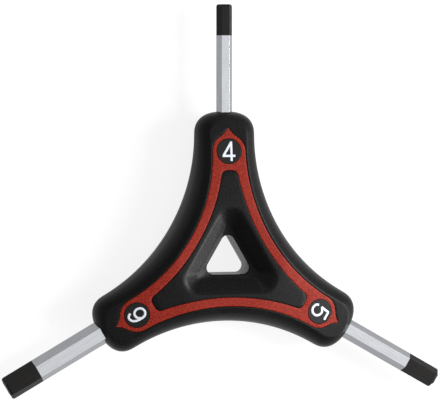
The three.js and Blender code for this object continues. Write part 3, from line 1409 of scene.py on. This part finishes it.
BOWL_OF_5 = (
    (-0.25, -0.01), (-0.02, 0.12), (0.2, 0.03), (0.275, -0.16),
    (0.19, -0.36), (-0.02, -0.44), (-0.21, -0.37), (-0.28, -0.22),
)
WHOLE_6 = (
    (0.25, 0.26), (0.17, 0.39), (0.02, 0.44), (-0.16, 0.34), (-0.25, 0.13),
    (-0.265, -0.1), (-0.2, -0.34), (0, -0.44), (0.2, -0.35), (0.275, -0.15),
    (0.2, 0.04), (0.02, 0.11), (-0.16, 0.03), (-0.245, -0.13),
)
DIGIT_STROKES = {
    "4": (
        Stroke(((0.115, 0.5), (0.115, -0.5))),
        Stroke(((0.115, 0.46), (-0.29, -0.2))),
        Stroke(((-0.35, -0.235), (0.32, -0.235))),
    ),
    "5": (
        Stroke(((-0.2, 0.44), (0.25, 0.44))),
        Stroke(((-0.185, 0.46), (-0.25, -0.04))),
        Stroke(BOWL_OF_5, steps=6),
    ),
    "6": (Stroke(WHOLE_6, steps=6),),
}


@dataclass
class SizeDisc:
    """A black disc in the head of the band, with the key's size printed on it.

    Attributes:
        arm: The arm that it sits on.
        face: The face that it lies on.
        form: The handle's outlines and heights.
        edge_round: The radius of its upper edge.
        edge_segments: The steps of that round.
        digit_height: The height of the digit's centre line.
        stroke_width: The width of the digit's strokes.
        ink_thickness: How far the ink stands over the disc.
    """

    arm: Arm
    face: Face
    form: HandleForm
    edge_round: float = 0.00012
    edge_segments: int = 3
    digit_height: float = 0.0055
    stroke_width: float = 0.00064
    ink_thickness: float = 0.00003

    def place(self, piece: bpy.types.Object) -> None:
        """Lays a piece that is drawn about the disc's middle on the face of its arm.

        Args:
            piece: The disc or its digit.
        """
        settle(piece, Matrix.Translation((0, self.form.disc_reach, 0)))
        for vertex in piece.data.vertices:
            vertex.co.z += self.form.face_height(vertex.co)
        if self.face is Face.BACK:
            settle(piece, TO_BACK)
        settle(piece, Matrix.Rotation(self.arm.turn, 4, "Z"))
        settle(piece, Matrix.Translation((0, 0, self.form.crown)))

    def build_disc(self, black: bpy.types.Material) -> bpy.types.Object:
        """Builds the disc.

        Args:
            black: Its finish.

        Returns:
            The disc, standing for its CAD node.
        """
        name = f"{self.face.value}_disc_{self.arm.digit}"
        thickness = self.form.disc_thickness
        middle = (0, 0, -thickness / 2)
        disc = cylinder(name, ROUND_SIDES, self.form.disc_radius, thickness, middle)
        make_active(disc)
        bpy.ops.object.mode_set(mode="EDIT")
        pick(disc.data, Part.FACE, lambda face: face.normal.z > math.cos(SMOOTH_ANGLE))
        bpy.ops.mesh.bevel(offset=self.edge_round, segments=self.edge_segments)
        bpy.ops.object.mode_set(mode="OBJECT")
        self.place(disc)
        shade_smooth(disc)
        disc.data.materials.append(black)
        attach(disc, "root")
        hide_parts(f"{self.face.value}_size_disc_{self.arm.digit}")
        return disc

    def build_digit(self, ink: bpy.types.Material) -> bpy.types.Object:
        """Prints the size on the disc.

        Args:
            ink: The finish of the print.

        Returns:
            The digit, which only scene.py makes.
        """
        curve = bpy.data.curves.new("digit_strokes", "CURVE")
        curve.dimensions = "3D"
        curve.bevel_depth = self.stroke_width / 2
        curve.use_fill_caps = True
        for stroke in DIGIT_STROKES[self.arm.digit]:
            points = stroke.points(self.digit_height)
            spline = curve.splines.new("POLY")
            spline.points.add(len(points) - 1)
            for point, place in zip(spline.points, points):
                point.co = (*place, 0, 1)
        digit = bpy.data.objects.new(f"{self.face.value}_digit_{self.arm.digit}", curve)
        bpy.context.scene.collection.objects.link(digit)
        make_active(digit)
        bpy.ops.object.convert(target="MESH")
        digit = bpy.context.object
        flatten = 2 * self.ink_thickness / self.stroke_width
        settle(digit, Matrix.Diagonal((1, 1, flatten, 1)))
        self.place(digit)
        shade_smooth(digit)
        digit.data.materials.append(ink)
        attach(digit, "root")
        return digit


@dataclass(frozen=True)
class Lamp:
    """A soft box that shines on the middle of the wrench.

    Attributes:
        name: The lamp's name.
        place: Where it stands.
        size: The width and height of the box.
        power: Its power in watts.
    """

    name: str
    place: tuple[float, float, float]
    size: float
    power: float

    def build(self, target: Vector) -> None:
        """Hangs the lamp and turns it to what it lights.

        Args:
            target: The point that it shines on.
        """
        light = bpy.data.lights.new(self.name, "AREA")
        light.shape = "SQUARE"
        light.size = self.size
        light.energy = self.power
        lamp = bpy.data.objects.new(self.name, light)
        bpy.context.scene.collection.objects.link(lamp)
        lamp.location = self.place
        lamp.rotation_euler = (target - lamp.location).to_track_quat("-Z", "Y").to_euler()
        lamp.visible_camera = False


def seen_white(tree: bpy.types.NodeTree, shine: float) -> bpy.types.NodeSocket:
    """Tells what a ray sees: white for the camera and through glass, and a share for what shines.

    Args:
        tree: The node tree of the floor or of the room.
        shine: The share that glossy surfaces see.

    Returns:
        The brightness, which is 0 for all other rays.
    """
    path = tree.nodes.new("ShaderNodeLightPath")
    shining = tree.nodes.new("ShaderNodeMath")
    shining.operation = "MULTIPLY_ADD"
    tree.links.new(path.outputs["Is Glossy Ray"], shining.inputs[0])
    shining.inputs[1].default_value = shine
    tree.links.new(path.outputs["Is Camera Ray"], shining.inputs[2])
    seen = tree.nodes.new("ShaderNodeMath")
    seen.operation = "ADD"
    tree.links.new(shining.outputs[0], seen.inputs[0])
    tree.links.new(path.outputs["Is Transmission Ray"], seen.inputs[1])
    return seen.outputs[0]


@dataclass
class Studio:
    """The floor, the lamps and the camera.

    Attributes:
        key_plane: The height of the keys' plane over the floor.
        floor_radius: The radius of the level floor.
        wall_height: The height of the low backdrop round it.
        wall_steps: The shares of that height in the backdrop's steps, from the floor up.
        wall_flare: How much wider a step gets, which a higher step does less.
        floor_albedo: The floor's own grey, which the lamps light.
        floor_roughness: The floor's roughness.
        floor_glow: The white that the floor adds to that for the camera.
        floor_shine: The share of that white that glossy surfaces see.
        room_shine: The share of the room's white that glossy surfaces see.
        lamps: The soft boxes.
        camera_distance: The distance from the camera to the wrench.
        camera_tilt: The camera's turn about its own level axis.
        camera_swing: The camera's turn to the side.
        camera_offset: The shift of the wrench in the picture, across and up.
        pixels_per_metre: The picture's scale at the wrench.
        image_width: The picture's width in pixels.
        sensor_width: The camera's sensor width in millimetres.
        clip_range: The nearest and farthest distance that the camera sees.
    """

    key_plane: float
    floor_radius: float = 1.6
    wall_height: float = 0.35
    wall_steps: tuple[float, ...] = (0.05, 0.15, 0.3, 0.5)
    wall_flare: float = 0.04
    floor_albedo: float = 0.2
    floor_roughness: float = 0.9
    floor_glow: float = 0.86
    floor_shine: float = 0.8
    room_shine: float = 0.3
    lamps: tuple[Lamp, ...] = (
        Lamp("right_softbox", (0.94, 0.12, 0.78), 0.4, 14.5),
        Lamp("low_softbox", (1.1, -0.46, 0.4), 0.5, 14.0),
        Lamp("left_softbox", (-0.75, 0.05, 0.85), 1.0, 1.0),
        Lamp("far_softbox", (0.0, 0.98, 0.69), 0.55, 1.6),
        Lamp("top_softbox", (0.4, -0.1, 1.25), 0.9, 4.0),
    )
    camera_distance: float = 0.781
    camera_tilt: float = math.radians(2.85)
    camera_swing: float = math.radians(12.42)
    camera_offset: tuple[float, float] = (0.00118, -0.01659)
    pixels_per_metre: float = 3484.0
    image_width: int = 440
    sensor_width: float = 36.0
    clip_range: tuple[float, float] = (0.01, 20.0)

    def build(self) -> None:
        """Sets up the whole studio."""
        self.build_floor()
        self.build_world()
        for lamp in self.lamps:
            lamp.build(Vector((0, 0, self.key_plane)))
        self.build_camera()
        bpy.context.scene.view_settings.view_transform = "Standard"

    def build_floor(self) -> None:
        """Lays the round floor, whose edge rises as a low backdrop."""
        bpy.ops.object.select_all(action="DESELECT")
        bpy.ops.mesh.primitive_circle_add(
            vertices=ROUND_SIDES, radius=self.floor_radius, fill_type="NGON"
        )
        floor = bpy.context.object
        floor.name = "studio_floor"
        bpy.ops.object.mode_set(mode="EDIT")
        bpy.ops.mesh.select_all(action="SELECT")
        bpy.ops.mesh.region_to_loop()
        for share in self.wall_steps:
            rise = (0, 0, self.wall_height * share)
            widening = 1 + self.wall_flare * (1 - share)
            bpy.ops.mesh.extrude_edges_move(TRANSFORM_OT_translate={"value": rise})
            bpy.ops.transform.resize(value=(widening, widening, 1))
        bpy.ops.object.mode_set(mode="OBJECT")
        floor.data.materials.append(self.floor_material())

    def floor_material(self) -> bpy.types.Material:
        """Builds the pale floor, which looks white and still takes the wrench's shadow.

        Returns:
            The floor's material.
        """
        recipe = Recipe("pale_floor")
        recipe.shader["Base Color"].default_value = (*[self.floor_albedo] * 3, 1)
        recipe.shader["Roughness"].default_value = self.floor_roughness
        recipe.shader["Specular IOR Level"].default_value = 0.0
        recipe.shader["Emission Color"].default_value = WHITE
        glow = recipe.add("ShaderNodeMath", {"operation": "MULTIPLY"})
        recipe.link(seen_white(recipe.tree, self.floor_shine), glow.inputs[0])
        glow.inputs[1].default_value = self.floor_glow
        recipe.link(glow.outputs[0], recipe.shader["Emission Strength"])
        recipe.material.cycles.emission_sampling = "NONE"
        return recipe.material

    def build_world(self) -> None:
        """Fills the room with white for the camera and with a soft grey for what shines."""
        world = bpy.data.worlds.new("studio_room")
        world.use_nodes = True
        tree = world.node_tree
        background = tree.nodes["Background"].inputs
        background["Color"].default_value = WHITE
        tree.links.new(seen_white(tree, self.room_shine), background["Strength"])
        world.cycles.sampling_method = "NONE"
        bpy.context.scene.world = world

    def build_camera(self) -> None:
        """Hangs the camera at the photograph's angle."""
        data = bpy.data.cameras.new("photo_camera")
        data.sensor_width = self.sensor_width
        picture_width = self.image_width / self.pixels_per_metre
        data.lens = self.sensor_width * self.camera_distance / picture_width
        data.clip_start, data.clip_end = self.clip_range
        camera = bpy.data.objects.new("photo_camera", data)
        bpy.context.scene.collection.objects.link(camera)
        tilt = Matrix.Rotation(self.camera_tilt, 3, "X")
        turn = (tilt @ Matrix.Rotation(self.camera_swing, 3, "Y")).transposed()
        across, up = self.camera_offset
        place = turn @ Vector((-across, -up, self.camera_distance))
        place.z += self.key_plane
        camera.matrix_world = Matrix.Translation(place) @ turn.to_4x4()
        bpy.context.scene.camera = camera


def report(pieces: Sequence[bpy.types.Object]) -> None:
    """Logs each piece with its number of faces."""
    for piece in pieces:
        LOG.info("%s: %d faces", piece.name, len(piece.data.polygons))


def main() -> None:
    """Builds the wrench and its studio around the frame."""
    logging.basicConfig(level=logging.INFO, format="%(name)s: %(message)s")
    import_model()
    disc_low, disc_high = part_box("front_size_disc_4")
    grip_low, grip_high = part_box("outer_grip")
    form = HandleForm(
        disc_reach=(disc_low.y + disc_high.y) / 2, crown=(grip_high.z - grip_low.z) / 2
    )
    Studio(key_plane=form.crown).build()

    handle = Handle(
        form, RED_PLASTIC.material(), BLACK_GRIP.material(), BLACK_HOLE_WALL.material()
    )
    keys = [KeyBar.from_frame(arm, form.crown) for arm in ARMS]
    pieces = handle.build(keys)
    for key in keys:
        pieces.append(key.build(PLATED_STEEL.material(key.arm), BURNISHED_END.material(key.arm)))
    disc_black = DISC_BLACK.material()
    ink = WHITE_INK.material()
    for arm in ARMS:
        for face in Face:
            disc = SizeDisc(arm, face, form)
            pieces += [disc.build_disc(disc_black), disc.build_digit(ink)]
    report(pieces)


if __name__ == "__main__":
    main()
